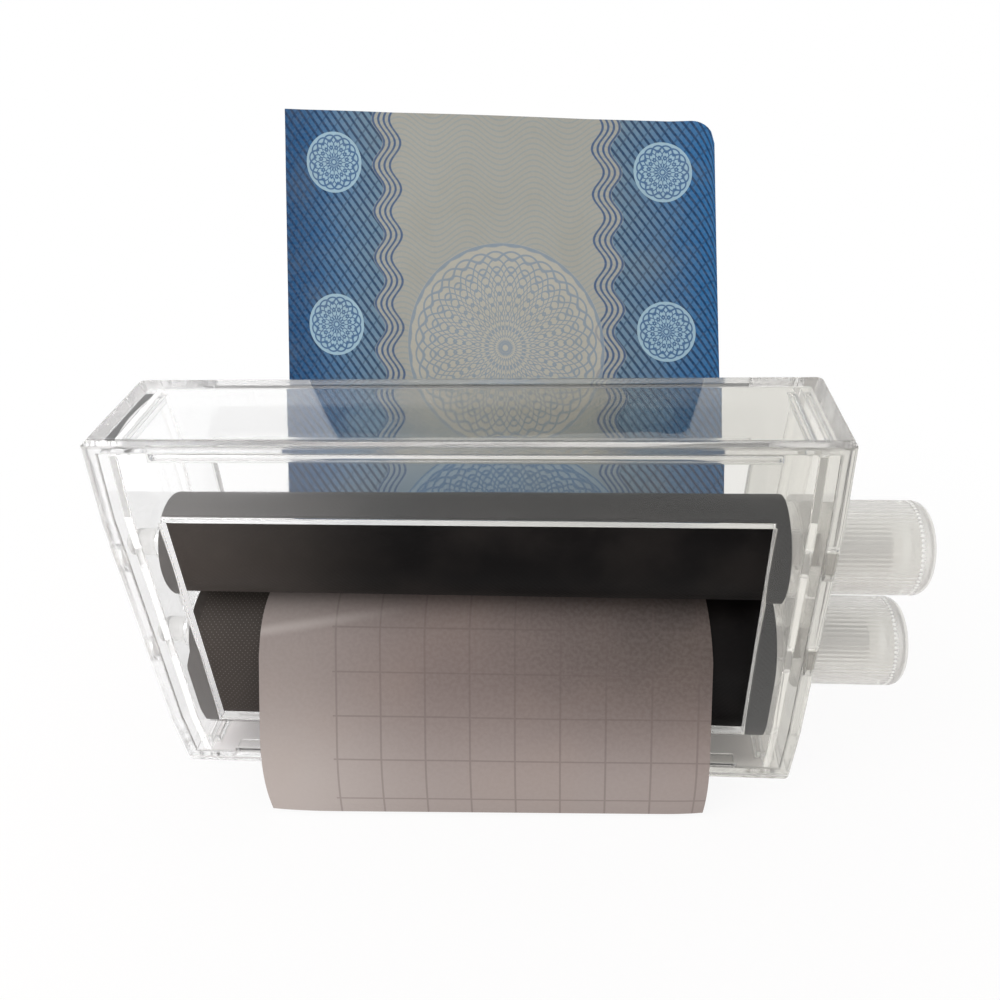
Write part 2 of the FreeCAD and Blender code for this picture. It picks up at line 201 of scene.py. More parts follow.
def makeScuffs():
    # Fine rubbed haze and short scratches of handled plastic, from Object coordinates
    tree, given, out = newGroup(
        "scuffs", [("Place", "NodeSocketVector", None), ("Size", "NodeSocketFloat", 1.0)],
        ["Haze", "Scratch"])
    haze = addNode(tree, "ShaderNodeTexNoise", {"Vector": given["Place"], "Detail": 5.0, "Roughness": 0.62,
                                                "Scale": times(tree, given["Size"], 60)})
    feed(tree, out["Haze"], ramp(tree, haze.outputs["Fac"], 0.42, 0.72))
    turned = addNode(tree, "ShaderNodeMapping", {"Vector": given["Place"], "Rotation": (0.4, 0.9, 0.5),
                                                 "Scale": (9, 1, 9)})
    lines = addNode(tree, "ShaderNodeTexNoise", {"Vector": turned.outputs[0], "Detail": 2.0,
                                                 "Distortion": 0.4, "Scale": times(tree, given["Size"], 95)})
    away = calc(tree, "ABSOLUTE", calc(tree, "SUBTRACT", lines.outputs["Fac"], 0.5))
    thin = ramp(tree, away, 0.0, 0.006, 1.0, 0.0)
    patch = ramp(tree, haze.outputs["Fac"], 0.55, 0.7)
    feed(tree, out["Scratch"], calc(tree, "MULTIPLY", thin, patch))
    return tree


def makeWeave():
    # Plain weave from a place on the cloth in millimetres: thread height and lit crossings
    tree, given, out = newGroup(
        "weave", [("Place", "NodeSocketVector", None), ("Pitch", "NodeSocketFloat", 0.34)],
        ["Height", "Glints"])
    waves = []
    for across in split(tree, given["Place"])[:2]:
        turn = times(tree, calc(tree, "DIVIDE", across, given["Pitch"]), math.pi)
        waves.append(calc(tree, "SINE", turn))
    height = times(tree, *waves)
    feed(tree, out["Height"], height)
    feed(tree, out["Glints"], ramp(tree, height, 0.72, 0.98))
    return tree


def makeHatch():
    # Ruled lines in millimetres, at an angle and a pitch
    tree, given, out = newGroup(
        "ruledLines", [("Place", "NodeSocketVector", None), ("Angle", "NodeSocketFloat", 0.0),
                       ("Pitch", "NodeSocketFloat", 1.0), ("Line", "NodeSocketFloat", 0.2)], ["Mask"])
    x, y = split(tree, given["Place"])[:2]
    along = calc(tree, "ADD", times(tree, x, calc(tree, "COSINE", given["Angle"])),
                 times(tree, y, calc(tree, "SINE", given["Angle"])))
    feed(tree, out["Mask"], ruled(tree, along, given["Pitch"], given["Line"], 0.4))
    return tree


def makeRosette():
    # Engine-turned rings, two sets of waves that cross, round a centre given in millimetres
    tree, given, out = newGroup(
        "rosette", [("Place", "NodeSocketVector", None), ("Centre", "NodeSocketVector", None),
                    ("Radius", "NodeSocketFloat", 10.0), ("Lobes", "NodeSocketFloat", 12.0),
                    ("Pitch", "NodeSocketFloat", 1.2), ("Swing", "NodeSocketFloat", 1.0),
                    ("Line", "NodeSocketFloat", 0.25)], ["Mask", "Disc"])
    fromCentre = addNode(tree, "ShaderNodeVectorMath", {0: given["Place"], 1: given["Centre"]},
                         operation="SUBTRACT")
    x, y = split(tree, fromCentre.outputs[0])[:2]
    radius = calc(tree, "SQRT", calc(tree, "ADD", times(tree, x, x), times(tree, y, y)))
    angle = calc(tree, "ARCTAN2", y, x)
    bulge = calc(tree, "SINE", times(tree, calc(tree, "DIVIDE", radius, given["Radius"]), math.pi))
    swing = times(tree, bulge, given["Swing"])
    wave = times(tree, calc(tree, "SINE", times(tree, angle, given["Lobes"])), swing)
    inside = calc(tree, "LESS_THAN", radius, given["Radius"])
    masks = [ruled(tree, calc(tree, operation, radius, wave), given["Pitch"], given["Line"], 0.5)
             for operation in ("ADD", "SUBTRACT")]
    feed(tree, out["Mask"], times(tree, calc(tree, "MAXIMUM", *masks), inside))
    feed(tree, out["Disc"], inside)
    return tree


scuffs, weave, ruledLines, rosette = makeScuffs(), makeWeave(), makeHatch(), makeRosette()
print("shared effects made")


def seenDirectly(tree):
    # 1 for what the camera sees, also in a reflection or through clear plastic
    path = addNode(tree, "ShaderNodeLightPath").outputs
    seen = calc(tree, "MAXIMUM", path["Is Camera Ray"], path["Is Glossy Ray"])
    return calc(tree, "MAXIMUM", seen, path["Is Transmission Ray"])


studio = {
    "fill": 0.86,
    "floorShadow": 0.09,
    "shadowReach": 0.16,
    "underCase": 1.0,
    "caseFoot": (0.049, 0.009),
    "footEdge": (-0.004, 0.002),
    # the pink tint shows in the table's shade under the case: painted bounce light from the slip
    "tableColour": (0.86, 0.81, 0.80, 1),
    "lampsAim": (0, 0, 0.03),
    "keys": [
        # place, size, watts
        ((-0.34, -0.20, 0.42), 0.34, 0.9),
        ((-0.40, -0.10, 0.14), 0.20, 0.5),
    ],
}


def lightStudio():
    world = bpy.data.worlds.new("studio")
    bpy.context.scene.world = world
    world.use_nodes = True
    tree = world.node_tree
    background = tree.nodes["Background"]
    background.inputs["Color"].default_value = (1, 1, 1, 1)
    strength = ramp(tree, seenDirectly(tree), 0.0, 1.0, studio["fill"], 1.0)
    feed(tree, background.inputs["Strength"], strength)
    for i, (place, width, watts) in enumerate(studio["keys"]):
        data = bpy.data.lights.new(f"softLight{i}", "AREA")
        data.size = width
        data.energy = watts
        lamp = addObject(f"softLight{i}", data)
        aim = (Vector(studio["lampsAim"]) - Vector(place)).to_track_quat("-Z", "Y")
        lamp.matrix_world = Matrix.Translation(place) @ aim.to_matrix().to_4x4()
    bpy.ops.object.select_all(action="DESELECT")
    bpy.ops.mesh.primitive_plane_add(size=8, location=(0, 0, -0.0002))
    table = bpy.context.object
    table.name = "table"
    material, tree, shader = newMaterial("whiteTable", Roughness=0.9, Specular_IOR_Level=0.1,
                                         Base_Color=studio["tableColour"])
    glow = addNode(tree, "ShaderNodeEmission", {"Color": (1, 1, 1, 1), "Strength": 1.0})
    place = addNode(tree, "ShaderNodeTexCoord").outputs["Object"]
    far = addNode(tree, "ShaderNodeVectorMath", {0: place}, operation="LENGTH").outputs["Value"]
    near = ramp(tree, far, studio["shadowReach"] * 0.4, studio["shadowReach"], studio["floorShadow"], 0.0)
    past = [calc(tree, "SUBTRACT", calc(tree, "ABSOLUTE", way), half)
            for way, half in zip(split(tree, place)[:2], studio["caseFoot"])]
    under = ramp(tree, calc(tree, "MAXIMUM", *past), *studio["footEdge"], studio["underCase"], 0.0)
    near = calc(tree, "MAXIMUM", near, under)
    share = times(tree, seenDirectly(tree), calc(tree, "SUBTRACT", 1.0, near))
    mixShaders(tree, share, shader, glow)
    table.data.materials.append(material)


placeCamera()
bpy.context.scene.view_settings.view_transform = "Standard"
lightStudio()
print("camera, lights and table ready")


clearLook = {
    "refraction": 1.42,
    # the clear plastic darkens from the left end to the right: painted shade, as the light falls from the
    # left
    "litLeftTone": "#ffffff",
    "shadedRightTone": "#ebeae6",
    "leftGlare": 1.0,
    "glareAlong": (-0.050, 0.0),
    "glareUp": (0.0505, 0.0515),  # the roof and the upper facet
    "shadeAlong": (-0.036, 0.030),
    "lampTint": 0.96,
    "creases": (0.0118, 0.0510),
    "creaseHalf": 0.0003,
    "creaseDepth": 9.0,
    "endHaze": 0.13,
    "hazeOut": (0.0470, 0.0478),  # the roof over the end walls
    "hazeUp": (0.0617, 0.0621),
    "bump": 0.035,
    "bumpDepth": 0.0001,
}


def clearMaterial(name, milk, litLeftTone, shadedRightTone, roughness=0.02, glare=0.0, rubbed=0.05, glow=0.0,
                  between=clearLook["shadeAlong"]):
    # Clear polystyrene: bends and mirrors what is seen through it, and lets the lamps through
    material, tree, shader = newMaterial(name, IOR=clearLook["refraction"], Transmission_Weight=1 - milk,
                                         Coat_IOR=1.6, Coat_Roughness=0.02, Emission_Color=(1, 1, 1, 1),
                                         Emission_Strength=glow)
    place = addNode(tree, "ShaderNodeTexCoord").outputs["Object"]
    marks = useGroup(tree, scuffs, Place=place, Size=1.0)
    along, _, up = split(tree, place)
    # painted shade: the tone runs from the lit left tone to the shaded right tone along the case
    tone = mixColour(tree, ramp(tree, along, *between), colourOf(litLeftTone), colourOf(shadedRightTone))
    feed(tree, shader.inputs["Base Color"], tone)
    crease = haze = 0.0
    if glare:
        feed(tree, shader.inputs["Coat Weight"],
             times(tree, ramp(tree, along, *clearLook["glareAlong"], glare, 0.0),
                   ramp(tree, up, *clearLook["glareUp"])))
        haze = times(tree, ramp(tree, calc(tree, "ABSOLUTE", along), *clearLook["hazeOut"]),
                     ramp(tree, up, *clearLook["hazeUp"], 0.0, clearLook["endHaze"]))
        away = [calc(tree, "ABSOLUTE", calc(tree, "SUBTRACT", up, at)) for at in clearLook["creases"]]
        crease = ramp(tree, calc(tree, "MINIMUM", *away), 0.0, clearLook["creaseHalf"],
                      clearLook["creaseDepth"], 0.0)
    rough = calc(tree, "ADD", times(tree, marks["Haze"], rubbed), roughness)
    feed(tree, shader.inputs["Roughness"], calc(tree, "ADD", rough, haze))
    height = calc(tree, "SUBTRACT", marks["Haze"], times(tree, marks["Scratch"], 0.5))
    height = calc(tree, "SUBTRACT", height, crease)
    feed(tree, shader.inputs["Normal"], bumpFrom(tree, height, clearLook["bump"], clearLook["bumpDepth"]))
    path = addNode(tree, "ShaderNodeLightPath").outputs
    lamps = calc(tree, "MAXIMUM", path["Is Shadow Ray"], path["Is Diffuse Ray"])
    mixShaders(tree, lamps, shader,
               addNode(tree, "ShaderNodeBsdfTransparent", {"Color": (clearLook["lampTint"],) * 3 + (1,)}))
    return material


wallClear = clearMaterial("clearWall", 0.01, clearLook["litLeftTone"], clearLook["shadedRightTone"],
                          glare=clearLook["leftGlare"])
# the rounded edges are tinted greyer than the walls: painted shade for the dark lines along the edges
edgeClear = clearMaterial("clearRoundedEdge", 0.06, "#e6e5e3", "#c6c5c1", 0.06)
cutClear = clearMaterial("clearCutFace", 0.3, "#e9e8e6", "#d9d8d5", 0.2)
endClear = clearMaterial("clearEndWall", 0.05, "#ffffff", "#f6f5f2")
# painted glow: an emission stands in for the light piped along the wall
glowClear = clearMaterial("glowingCutFace", 0.9, "#ffffff", "#ffffff", 0.3, glow=0.30)
# the inner plates have a faint painted glow, an emission that lightens them
plateClear = clearMaterial("clearInnerPlate", 0.03, "#ffffff", "#fbfaf8", glow=0.05)
plateEdge = clearMaterial("plateEdge", 0.45, "#b9b8b6", "#a9a8a5", 0.3)
pinClear = clearMaterial("clearPin", 0.12, "#f3f2f0", "#e2e1de", 0.1)

caseLook = {
    "edgeRounding": 0.3,
    "plateRounding": 0.15,
    "bevelAngle": 24,  # degrees: flatter edges stay sharp
    "rimDepth": 2,  # how near the front a face has to be to be part of the rim
    "endWall": 2.5,
    "sameCorner": 0.5,  # degrees: flatter joints between faces are removed first
    "seam": 0.07,  # the air between the cover and the case
    "windowSide": 41.8,
    "windowLow": 11.8,
    "windowHigh": 51.0,
}


def roundedCopy(node, name, rounding, faceMaterials, seam=0.0):
    # A copy of a CAD node with its triangles merged into faces and its edges rounded
    piece = addObject(name, nodes[node].data.copy())
    selectOnly(piece)
    if piece.data.has_custom_normals:
        bpy.ops.mesh.customdata_custom_splitnormals_clear()
    bpy.ops.object.mode_set(mode="EDIT")
    bpy.ops.mesh.select_all(action="SELECT")
    bpy.ops.mesh.remove_doubles(threshold=2e-6)
    bpy.ops.mesh.dissolve_limited(angle_limit=math.radians(caseLook["sameCorner"]))
    bpy.ops.mesh.normals_make_consistent(inside=False)
    bpy.ops.object.mode_set(mode="OBJECT")
    front = piece.bound_box[0][1]
    if seam:
        rim = {i for face in piece.data.polygons for i in face.vertices
               if face.normal.y < -0.9 and face.center.y < front + caseLook["rimDepth"] * mm}
        for i in rim:
            piece.data.vertices[i].co.y += seam * mm
    piece.data.materials.clear()
    for material in faceMaterials:
        piece.data.materials.append(material)
    for face in piece.data.polygons:
        face.material_index = 0
    bevel = piece.modifiers.new("round", "BEVEL")
    bevel.width = rounding * mm
    bevel.segments = 3
    bevel.limit_method = "ANGLE"
    bevel.angle_limit = math.radians(caseLook["bevelAngle"])
    bevel.use_clamp_overlap = False
    bevel.material = 1
    bevel.harden_normals = True
    bpy.ops.object.shade_smooth()
    bpy.ops.object.modifier_apply(modifier="round")
    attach(piece, "case")
    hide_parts(node)
    return piece


def frostWindow(piece):
    # The windows' cut faces are matt, and the left one has a painted glow, an emission standing in for the
    # light piped along the wall
    half, low, high = (caseLook[key] * mm for key in ("windowSide", "windowLow", "windowHigh"))
    for face in piece.data.polygons:
        x, y, z = face.center
        onSide = abs(abs(x) - half) < 0.1 * mm and abs(face.normal.x) > 0.9
        onSill = min(abs(z - low), abs(z - high)) < 0.1 * mm and abs(face.normal.z) > 0.9
        if face.material_index == 0 and abs(y) > 10 * mm and (onSide or onSill and abs(x) < half):
            face.material_index = 3 if onSide and x < 0 and y < 0 else 2


def softenEnds(piece):
    # The end walls are a little hazy from handling
    reach = max(abs(corner[0]) for corner in piece.bound_box)
    inner = reach - caseLook["endWall"] * mm
    for face in piece.data.polygons:
        if face.material_index == 0 and abs(face.normal.x) > 0.9 and abs(face.center.x) > inner:
            face.material_index = 4


shellFinish = (caseLook["edgeRounding"], [wallClear, edgeClear, cutClear, glowClear, endClear])
rearCase = roundedCopy("rear_case", "clearRearCase", *shellFinish, seam=caseLook["seam"])
frontCover = roundedCopy("front_cover", "clearFrontCover", *shellFinish)
for shell in (rearCase, frontCover):
    frostWindow(shell)
    softenEnds(shell)
for side in ("left", "right"):
    plate = roundedCopy(f"{side}_bearing_plate", f"{side}InnerPlate", caseLook["plateRounding"],
                        [plateClear, edgeClear, plateEdge])
    # their leaning front edges are matt, and their grey tone is painted shade for the dark look of the edge
    for face in plate.data.polygons:
        if face.material_index == 0 and face.normal.y < -0.9 and face.normal.z > 0.05:
            face.material_index = 2
print("clear case made")


clothLook = {
    "tone": "#0a0808",
    "litTone": "#4b4541",
    "glintTone": "#8b8682",
    "rubbedShare": 0.12,
    "paintedSheenReach": 0.42,
    "bump": 0.12,
    "bumpDepth": 0.00006,
    "sheen": 0.03,
    "threadPitch": 0.42,
    "halfWidth": 45.6,
    "thickness": 0.18,
}


def clothMaterial(name, width, length, paintedSheenLeft, glints=0.0):
    # Black woven nylon, laid out by its UV map on a sheet of that width and length in millimetres
    material, tree, shader = newMaterial(
        name, Sheen_Weight=clothLook["sheen"], Sheen_Roughness=0.4,
        Sheen_Tint=(0.82, 0.78, 0.75, 1), Specular_IOR_Level=0.08)
    place = laidFlat(tree, width, length)[1]
    threads = useGroup(tree, weave, Place=place, Pitch=clothLook["threadPitch"])
    rubbed = ramp(tree, noiseOf(tree, place, 0.06, 3.0), 0.40, 0.66)
    # painted sheen: the cloth is lighter towards its left end, where the light falls
    sheenNearLeft = ramp(tree, split(tree, place)[0], 0.0, width * clothLook["paintedSheenReach"], paintedSheenLeft, 0.0)
    share = calc(tree, "ADD", times(tree, rubbed, clothLook["rubbedShare"]), sheenNearLeft, clamp=True)
    body = lay(tree, colourOf(clothLook["tone"]), share, clothLook["litTone"])
    # painted glints on the thread crossings, only towards the left end
    lit = times(tree, threads["Glints"], times(tree, sheenNearLeft, glints))
    feed(tree, shader.inputs["Base Color"], lay(tree, body, lit, clothLook["glintTone"]))
    feed(tree, shader.inputs["Roughness"], calc(tree, "ADD", times(tree, rubbed, 0.15), 0.5))
    feed(tree, shader.inputs["Normal"],
         bumpFrom(tree, threads["Height"], clothLook["bump"], clothLook["bumpDepth"]))
    return material


def sheetMesh(name, rows, material, thickness=None):
    # A sheet from rows of points in millimetres, with the rows along V and the points along U
    tall, wide = len(rows), len(rows[0])
    mesh = bpy.data.meshes.new(name)
    points = [Vector(p) * mm for row in rows for p in row]
    faces = [(r * wide + c, r * wide + c + 1, (r + 1) * wide + c + 1, (r + 1) * wide + c)
             for r in range(tall - 1) for c in range(wide - 1)]
    mesh.from_pydata(points, [], faces)
    laid = mesh.uv_layers.new(name="flat")
    for loop in mesh.loops:
        r, c = divmod(loop.vertex_index, wide)
        laid.data[loop.index].uv = (c / (wide - 1), r / (tall - 1))
    mesh.materials.append(material)
    piece = addObject(name, mesh)
    selectOnly(piece)
    if thickness:
        solid = piece.modifiers.new("thickness", "SOLIDIFY")
        solid.thickness = thickness * mm
        solid.offset = 0
        bpy.ops.object.modifier_apply(modifier="thickness")
    bpy.ops.object.shade_smooth_by_angle(angle=math.radians(50))
    return piece


rollLook = {
    "pitch": 0.25,
    "stepsPerTurn": 64,
    "columns": 60,
    "ripple": 0.05,
    "endRaggedness": 0.35,
    "leftInset": {"upper": 0.0, "lower": 2.0},  # how far the last turns have slid in on the left
    "paintedSheenLeft": 0.72,
    "innerGap": 0.02,
    "outerGap": 0.06,
    "bore": 7.08,
    "axisZ": {"upper": 39.7, "lower": 21.5},
    "outer": {"upper": 8.2, "lower": 8.85},
}


def windRoll(place, seed, start):
    # The cloth wound round its tube as one long spiral
    thick, half = clothLook["thickness"], clothLook["halfWidth"]
    axisZ, bore, outer = rollLook["axisZ"][place], rollLook["bore"], rollLook["outer"][place]
    turns = (outer - bore - thick - rollLook["outerGap"]) / rollLook["pitch"]
    steps = int(turns * rollLook["stepsPerTurn"])
    rows, length, before = [], 0.0, None
    for i in range(steps + 1):
        turn = i / rollLook["stepsPerTurn"]
        angle = start + 2 * math.pi * turn
        radius = bore + rollLook["innerGap"] + thick / 2 + rollLook["pitch"] * turn
        ragged = rollLook["endRaggedness"] * (0.5 + 0.5 * noise.noise(Vector((turn * 1.7, seed, 0))))
        slid = rollLook["leftInset"][place] * min(1.0, max(0.0, (radius - outer + 1.2) / 0.8))
        row = []
        for c in range(rollLook["columns"] + 1):
            u = c / rollLook["columns"]
            x = (half - ragged) * (2 * u - 1) + slid * (1 - u) ** 3
            wave = noise.noise(Vector((x * 0.11, math.cos(angle) * 1.6 + seed, math.sin(angle) * 1.6)))
            r = radius * (1 - rollLook["ripple"] / outer * (0.5 + 0.5 * wave))
            row.append((x, r * math.cos(angle), axisZ + r * math.sin(angle)))
        rows.append(row)
        middle = Vector(row[len(row) // 2])
        length += (middle - before).length if before else 0
        before = middle
    material = clothMaterial(f"{place}RollCloth", 2 * half, length, rollLook["paintedSheenLeft"])
    roll = sheetMesh(f"{place}ClothRoll", rows, material, thick)
    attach(roll, f"{place}_roller")
    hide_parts(f"{place}_cloth_roll")
    print(f"{place} roll: {length:.0f} mm of cloth in {turns:.1f} turns")


windRoll("upper", 3.1, 0.6)
windRoll("lower", 8.4, 2.2)

loopLook = {
    "radius": 9.275,
    "top": 21.5,
    "low": 13.6,
    "slit": 1.2,
    "narrowNip": 2.6,
    "sag": 0.17,
    "columns": 90,
    "turnStep": 0.09,
    "straightSteps": 8,
    "underSteps": 35,
    "thickness": 0.12,
    "paintedSheenLeft": 0.8,
    "glints": 0.6,
}


def hangLoop():
    # The slack turn: from the nip round the back of the lower roll, under it and up the front
    radius, top, low = loopLook["radius"], loopLook["top"], loopLook["low"]
    open_ = loopLook["slit"] / radius
    line = []
    count = int((math.pi / 2 - open_) / loopLook["turnStep"])
    steps, under = loopLook["straightSteps"], loopLook["underSteps"]
    for i in range(count):
        angle = math.pi / 2 - open_ - i * loopLook["turnStep"]
        line.append((radius * math.cos(angle), top + radius * math.sin(angle)))
    for i in range(steps + 1):
        line.append((radius, top + (low - top) * i / steps))
    for i in range(1, under):
        angle = -math.pi * i / under
        line.append((radius * math.cos(angle), low + radius * math.sin(angle)))
    for i in range(steps + 1):
        line.append((-radius, low + (top - low) * i / steps))
    for i in range(1, count + 1):
        angle = math.pi - (math.pi / 2 - open_) * i / count
        line.append((radius * math.cos(angle), top + radius * math.sin(angle)))
    half = clothLook["halfWidth"]
    rows, length = [], 0.0
    for i, (y, z) in enumerate(line):
        centre = Vector((0, 0, min(max(z, low), top)))
        out = (Vector((0, y, z)) - centre).normalized()
        row = []
        pulledIn = loopLook["narrowNip"] * min(1.0, max(0.0, (z - 22.0) / 8.0)) if y < 0 else 0.0
        for c in range(loopLook["columns"] + 1):
            u = c / loopLook["columns"]
            x = half * (2 * u - 1) + pulledIn * (1 - u) ** 3
            slow = noise.noise(Vector((x * 0.05, y * 0.09, z * 0.09)))
            fold = noise.noise(Vector((x * 0.35, z * 0.04 + 5, y * 0.03)))
            dip = loopLook["sag"] * (0.5 + 0.35 * slow + 0.25 * fold)
            row.append(tuple(Vector((x, y, z)) - out * max(dip, 0)))
        rows.append(row)
        if i:
            length += math.dist(line[i - 1], line[i])
    material = clothMaterial("slackCloth", 2 * half, length, loopLook["paintedSheenLeft"], loopLook["glints"])
    loop = sheetMesh("slackCloth", rows, material, loopLook["thickness"])
    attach(loop, "case")
    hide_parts("cloth_loop")
    print(f"slack turn: {length:.0f} mm of cloth")


hangLoop()


slipLook = {
    "width": 70.0, "shift": 1.4, "middleZ": 21.5, "radius": 9.56,
    "leftLean": 30.5, "rightLean": 24.5, "run": 15.7, "bend": 30.0, "tableGap": 0.5,
    "square": 6.97, "margin": 12.3, "firstRow": 6.5,
    "lineWidths": (0.30, 0.26), "lineShare": 0.36, "marginPlay": 0.6,
    # the paper's grey-mauve tone is painted shade, darker than the paper itself
    "shadedPaper": "#80726e", "litPaper": "#c6beb9", "shadePaper": "#332c29", "line": "#5f5350",
    "blotch": "#a08a7c", "fibre": "#c9c2bd",
    "crease": (7.4, 0.16, 1.3, 0.30),  # drop at the left edge, slope, half width, share
    "rows": 64, "columns": 60, "thickness": 0.11,
    "leftCurl": (0.9, 0.5), "rightCurl": (-0.5, 0.3), "topFlare": 0.9, "wave": 0.16,
}


def slipEdge(lean, count):
    # Points down one side of the slip, evenly spaced from the nip to the table
    angle, radius = math.radians(lean), slipLook["radius"]
    start = 1.0 / radius
    wrapped = radius * (math.pi / 2 - start - angle)
    foot = Vector((0, -radius * math.cos(angle), slipLook["middleZ"] + radius * math.sin(angle)))
    down = Vector((0, -math.sin(angle), -math.cos(angle)))
    inwards = Vector((0, math.cos(angle), -math.sin(angle)))
    centre = foot + down * slipLook["run"] + inwards * slipLook["bend"]
    low = math.asin((slipLook["tableGap"] - centre.z) / slipLook["bend"])
    total = wrapped + slipLook["run"] + slipLook["bend"] * (angle - low)
    points = []
    for i in range(count + 1):
        s = total * i / count
        if s < wrapped:
            turn = math.pi / 2 + start + s / radius
            points.append(Vector((0, radius * math.cos(turn), slipLook["middleZ"] + radius * math.sin(turn))))
        elif s < wrapped + slipLook["run"]:
            points.append(foot + down * (s - wrapped))
        else:
            turn = angle - (s - wrapped - slipLook["run"]) / slipLook["bend"]
            points.append(centre + Vector((0, -math.cos(turn), math.sin(turn))) * slipLook["bend"])
    return points, total


def slipMaterial(length):
    material, tree, shader = newMaterial("squaredPaper", Roughness=0.72, Specular_IOR_Level=0.25)
    parts, place = laidFlat(tree, slipLook["width"], length)
    square = slipLook["square"]
    firstLines = (slipLook["margin"] - square / 2, slipLook["firstRow"] - square / 2, 0)
    moved = addNode(tree, "ShaderNodeVectorMath", {0: place, 1: firstLines}, operation="SUBTRACT").outputs[0]
    squares = [useGroup(tree, ruledLines, Place=moved, Angle=angle, Pitch=square, Line=width)["Mask"]
               for angle, width in zip((0.0, math.pi / 2), slipLook["lineWidths"])]
    bare = (slipLook["margin"] - slipLook["marginPlay"]) / slipLook["width"]
    lines = times(tree, calc(tree, "MAXIMUM", *squares), calc(tree, "GREATER_THAN", parts[0], bare))
    fibre = noiseOf(tree, place, 1.6, 6.0)
    blotch = noiseOf(tree, place, 0.05, 2.0)
    # painted light: paler towards the lower left, where it bends to the light; painted shade: darker up by
    # the nip on the right
    lower = ramp(tree, parts[1], 0.35, 1.0)
    left = ramp(tree, parts[0], 0.45, 0.0)
    right = ramp(tree, parts[0], 0.35, 1.0)
    upper = ramp(tree, parts[1], 0.85, 0.2)
    litShare = calc(tree, "ADD", times(tree, lower, 0.37), times(tree, left, 0.33))
    shadeShare = times(tree, calc(tree, "ADD", times(tree, right, 0.55), 0.25), upper)
    tone = lay(tree, colourOf(slipLook["shadedPaper"]), litShare, slipLook["litPaper"])
    tone = lay(tree, tone, shadeShare, slipLook["shadePaper"])
    tone = lay(tree, tone, ramp(tree, blotch, 0.4, 0.7, 0.0, 0.10), slipLook["blotch"])
    tone = lay(tree, tone, ramp(tree, fibre, 0.35, 0.65, 0.0, 0.05), slipLook["fibre"])
    tone = lay(tree, tone, lines, slipLook["line"], slipLook["lineShare"])
    # a faint painted highlight along a crease below the nip on the left
    x, y = split(tree, place)[:2]
    drop, slope, half, share = slipLook["crease"]
    away = calc(tree, "SUBTRACT", y, calc(tree, "SUBTRACT", drop, times(tree, x, slope)))
    crease = ramp(tree, calc(tree, "ABSOLUTE", away), 0.0, half, share, 0.0)
    tone = lay(tree, tone, times(tree, crease, ramp(tree, x, 4.0, 27.0, 1.0, 0.0)), slipLook["litPaper"])
    feed(tree, shader.inputs["Base Color"], tone)
    feed(tree, shader.inputs["Roughness"], ramp(tree, fibre, 0.3, 0.7, 0.62, 0.8))
    feed(tree, shader.inputs["Normal"], bumpFrom(tree, fibre, 0.05, 0.0001))
    return material


def hangSlip():
    count, columns = slipLook["rows"], slipLook["columns"]
    left, length = slipEdge(slipLook["leftLean"], count)
    right, other = slipEdge(slipLook["rightLean"], count)
    rows = []
    for i in range(count + 1):
        v = i / count
        row = []
        for c in range(columns + 1):
            u = c / columns
            point = left[i].lerp(right[i], u)
            near = max(0.0, 1 - u / 0.16) ** 2
            far = max(0.0, (u - 0.9) / 0.1) ** 2
            top = max(0.0, 1 - v / 0.3)
            curl = near * max(0.0, (v - 0.62) / 0.38) ** 2
            farCurl = far * max(0.0, (v - 0.75) / 0.25) ** 2
            x = slipLook["shift"] + slipLook["width"] * (u - 0.5)
            x += slipLook["leftCurl"][0] * curl + slipLook["rightCurl"][0] * farCurl
            x += slipLook["topFlare"] * (near - far) * top
            y = point.y + slipLook["leftCurl"][1] * curl + slipLook["rightCurl"][1] * farCurl
            ease = math.sin(math.pi * min(1.0, max(0.0, (v - 0.3) / 0.7)))
            y += slipLook["wave"] * ease * noise.noise(Vector((u * 3.1, v * 2.2, 1.7)))
            row.append((x, y, point.z))
        rows.append(row)
    slip = sheetMesh("squaredSlip", rows, slipMaterial((length + other) / 2), slipLook["thickness"])
    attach(slip, "case")
    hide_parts("blank_slip")


hangSlip()


noteLook = {
    "width": 70.0, "shift": 4.05, "middleZ": 39.7, "radius": 8.5, "lean": 34.1,
    "leftLength": 71.3, "rightLength": 66.8, "sideLean": 1.95, "cornerRound": 3.6, "thickness": 0.11,
    "wrapRows": 12, "freeRows": 66, "columns": 140, "ripple": 0.5, "rightBend": 0.9,
    "band": 15.5, "borderWave": (7.0, 0.9), "borderPitch": 0.9, "borderWidth": 3.7,
    "fieldWave": (11.0, 1.3),
    # place of the centre, radius, lobes, pitch, swing, line width, then disc and line colours with shares
    "bigRosette": ((36.0, 41.0, 0), 16.0, 16.0, 1.5, 1.7, 0.36, ("#b0ab9e", 0.55), ("#5a7690", 0.62)),
    "lowRosette": ((36.0, 6.0, 0), 21.0, 22.0, 1.2, 1.6, 0.42, ("#7f9aad", 0.5), ("#2f5d88", 0.75)),
    "smallRosette": (4.6, 8.0, 1.1, 0.8, 0.34, ("#9db9c6", 0.8), ("#1f4a78", 0.85)),
    "smallPlaces": ((8.2, 68.5, 0), (61.8, 68.5, 0), (8.2, 44.0, 0), (61.8, 44.0, 0)),
    "stain": "#85816f", "fibre": "#b4b6b2",
    "ground": "#98978f", "paleBlue": "#647e91", "midBlue": "#245f90", "deepBlue": "#0d2a4c",
    "lineBlue": "#1d4470", "softLine": "#6f8793",
}


def layRosette(tree, tone, place, centre, radius, lobes, pitch, swing, line, disc, ring):
    marks = useGroup(tree, rosette, Place=place, Centre=centre, Radius=radius, Lobes=lobes,
                     Pitch=pitch, Swing=swing, Line=line)
    tone = lay(tree, tone, marks["Disc"], *disc)
    return lay(tree, tone, marks["Mask"], *ring)


